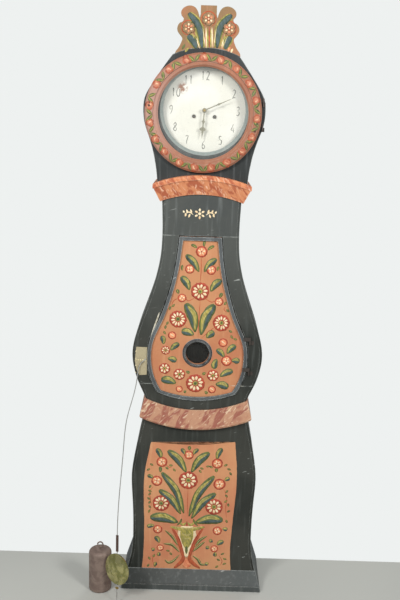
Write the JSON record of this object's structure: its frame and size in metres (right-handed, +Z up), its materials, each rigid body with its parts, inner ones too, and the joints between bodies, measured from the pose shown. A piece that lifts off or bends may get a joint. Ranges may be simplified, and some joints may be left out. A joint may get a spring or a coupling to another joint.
{
  "type": "longcase clock",
  "caption": "Tall pear-shaped painted longcase clock with a round glazed hood, arched collars, a waist door with a round window, and a loose weight and pendulum beside it.",
  "frame": {"origin": "on the floor under the middle of the case, half way between its front boards and its back", "axes": "+Z up, -Y out of the dial towards the room, +Y towards the wall, +X the clock's right as seen from the front"},
  "size_m": [0.66, 0.3665, 2.15],
  "materials": {
    "case_black": "worn black-green paint on wood",
    "base_front_paint": "black-green paint with an orange painted panel",
    "neck_paint": "worn grey-black paint with painted year numerals",
    "door_paint": "orange paint with a painted flower",
    "bead_paint": "grey-blue paint on wood",
    "upper_collar_paint": "orange and red-brown marbled paint",
    "lower_collar_paint": "pinkish brown marbled paint",
    "plinth_paint": "worn black-green paint on wood",
    "crown_paint": "carved wood painted orange, red, green and blue-grey",
    "ring_paint": "orange paint with a ring of painted flowers",
    "hood_edge_paint": "black-green paint on wood",
    "raw_wood": "bare aged pine",
    "glass": "old window glass",
    "dial_paint": "off-white painted sheet iron",
    "hand_steel": "cut sheet steel, dull",
    "movement_brass": "aged brass",
    "movement_steel": "steel",
    "bell_metal": "cast bell metal",
    "weight_iron": "rusty cast iron",
    "rod_steel": "iron wire",
    "bob_brass": "polished brass",
    "sleeve_iron": "dark rusty iron",
    "patch_metal": "old brass sheet with nails",
    "hinge_iron": "painted over iron"
  },
  "bodies": {
    "case": {"base_front": "base_front_paint", "base_left_side": "case_black", "base_right_side": "case_black", "base_floor": "raw_wood", "base_backboard": "raw_wood", "plinth_front": "plinth_paint", "plinth_returns": "plinth_paint", "trunk_top_rail": "neck_paint", "trunk_bottom_rail": "case_black", "trunk_left_stile": "case_black", "trunk_right_stile": "case_black", "trunk_left_side": "case_black", "trunk_right_side": "case_black", "trunk_backboard": "raw_wood", "lower_collar_front": "lower_collar_paint", "lower_collar_returns": "lower_collar_paint", "seat_board": "raw_wood", "front_plate": "movement_brass", "back_plate": "movement_brass", "movement_pillars": "movement_brass", "dial": "dial_paint", "bell": "bell_metal", "bell_stand": "movement_steel", "waist_hinge_fixed": "hinge_iron", "stile_patch": "patch_metal"},
    "hood": {"hood_front": "hood_edge_paint", "hood_left_side": "case_black", "hood_right_side": "case_black", "hood_roof": "case_black", "crown_board": "crown_paint", "upper_collar_front": "upper_collar_paint", "upper_collar_returns": "upper_collar_paint", "hood_hinge_fixed": "hinge_iron"},
    "hood_door": {"hood_door_ring": "ring_paint", "hood_door_glass": "glass", "hood_hinge_moving": "hinge_iron"},
    "waist_door": {"waist_door_board": "door_paint", "waist_door_glass": "glass", "waist_door_bead": "bead_paint", "waist_door_lens_ring": "bead_paint", "waist_hinge_moving": "hinge_iron"},
    "minute_hand_set": {"cannon_wheel": "movement_brass", "minute_hand": "hand_steel", "hand_nut": "movement_brass"},
    "hour_hand_set": {"hour_wheel": "movement_brass", "hour_hand": "hand_steel"},
    "minute_wheel_set": {"minute_wheel": "movement_brass"},
    "going_barrel": {"going_drum": "movement_brass"},
    "strike_barrel": {"strike_drum": "movement_brass"},
    "centre_train": {"centre_wheel": "movement_brass"},
    "third_train": {"third_wheel": "movement_brass"},
    "escape_train": {"escape_wheel": "movement_brass"},
    "anchor": {"anchor_and_crutch": "movement_steel"},
    "hammer_set": {"hammer": "movement_steel"},
    "loose_weight": {"floor_weight": "weight_iron"},
    "inner_weight": {"case_weight": "weight_iron"},
    "pendulum": {"pendulum_rod": "rod_steel", "pendulum_bob": "bob_brass", "pendulum_sleeve": "sleeve_iron", "pendulum_nut": "movement_brass"}
  },
  "joints": [
    {"name": "hood_slide", "type": "slide", "parent": "case", "child": "hood", "axis": [0, -1, 0], "range_m": [0, 0.24]},
    {"name": "hood_door_hinge", "type": "hinge", "parent": "hood", "child": "hood_door", "pos_m": [0.2015, -0.1038, 1.797], "axis": [0, 0, 1], "range_deg": [0, 105]},
    {"name": "waist_door_hinge", "type": "hinge", "parent": "case", "child": "waist_door", "pos_m": [0.191, -0.1043, 0.93], "axis": [0, 0, 1], "range_deg": [0, 105]},
    {"name": "minute_hand_turn", "type": "hinge", "parent": "case", "child": "minute_hand_set", "pos_m": [0, -0.08, 1.808], "axis": [0, 1, 0], "continuous": true},
    {"name": "hour_hand_turn", "type": "hinge", "parent": "case", "child": "hour_hand_set", "pos_m": [0, -0.08, 1.808], "axis": [0, 1, 0], "continuous": true},
    {"name": "minute_wheel_turn", "type": "hinge", "parent": "case", "child": "minute_wheel_set", "pos_m": [0, -0.05, 1.772], "axis": [0, 1, 0], "continuous": true},
    {"name": "going_winding", "type": "hinge", "parent": "case", "child": "going_barrel", "pos_m": [0.036, 0, 1.787], "axis": [0, 1, 0], "continuous": true},
    {"name": "strike_winding", "type": "hinge", "parent": "case", "child": "strike_barrel", "pos_m": [-0.036, 0, 1.787], "axis": [0, 1, 0], "continuous": true},
    {"name": "anchor_swing", "type": "hinge", "parent": "case", "child": "anchor", "pos_m": [0, 0.005, 1.874], "axis": [0, 1, 0], "range_deg": [-2.5, 2.5]},
    {"name": "escape_turn", "type": "hinge", "parent": "case", "child": "escape_train", "pos_m": [0, 0.005, 1.848], "axis": [0, 1, 0], "range_deg": [-4, 4]},
    {"name": "third_turn", "type": "hinge", "parent": "case", "child": "third_train", "pos_m": [-0.018, 0, 1.834], "axis": [0, 1, 0], "range_deg": [-1, 1]},
    {"name": "centre_turn", "type": "hinge", "parent": "case", "child": "centre_train", "pos_m": [0, 0, 1.808], "axis": [0, 1, 0], "range_deg": [-0.5, 0.5]},
    {"name": "hammer_swing", "type": "hinge", "parent": "case", "child": "hammer_set", "pos_m": [-0.045, 0.002, 1.862], "axis": [0, 1, 0], "range_deg": [-15, 0]},
    {"name": "loose_weight_lift", "type": "slide", "parent": "case", "child": "loose_weight", "axis": [0, 0, 1], "range_m": [0, 0.3]},
    {"name": "inner_weight_rise", "type": "slide", "parent": "case", "child": "inner_weight", "axis": [0, 0, 1], "range_m": [0, 1.3]},
    {"name": "pendulum_lift", "type": "slide", "parent": "case", "child": "pendulum", "axis": [0, 0, 1], "range_m": [0, 0.3]}
  ],
  "couplings": [
    {"joint": "hour_hand_turn", "follows": "minute_hand_turn", "ratio": 0.083333},
    {"joint": "minute_wheel_turn", "follows": "minute_hand_turn", "ratio": -0.75},
    {"joint": "escape_turn", "follows": "anchor_swing", "ratio": 1.2},
    {"joint": "third_turn", "follows": "anchor_swing", "ratio": -0.2},
    {"joint": "centre_turn", "follows": "anchor_swing", "ratio": 0.03}
  ]
}
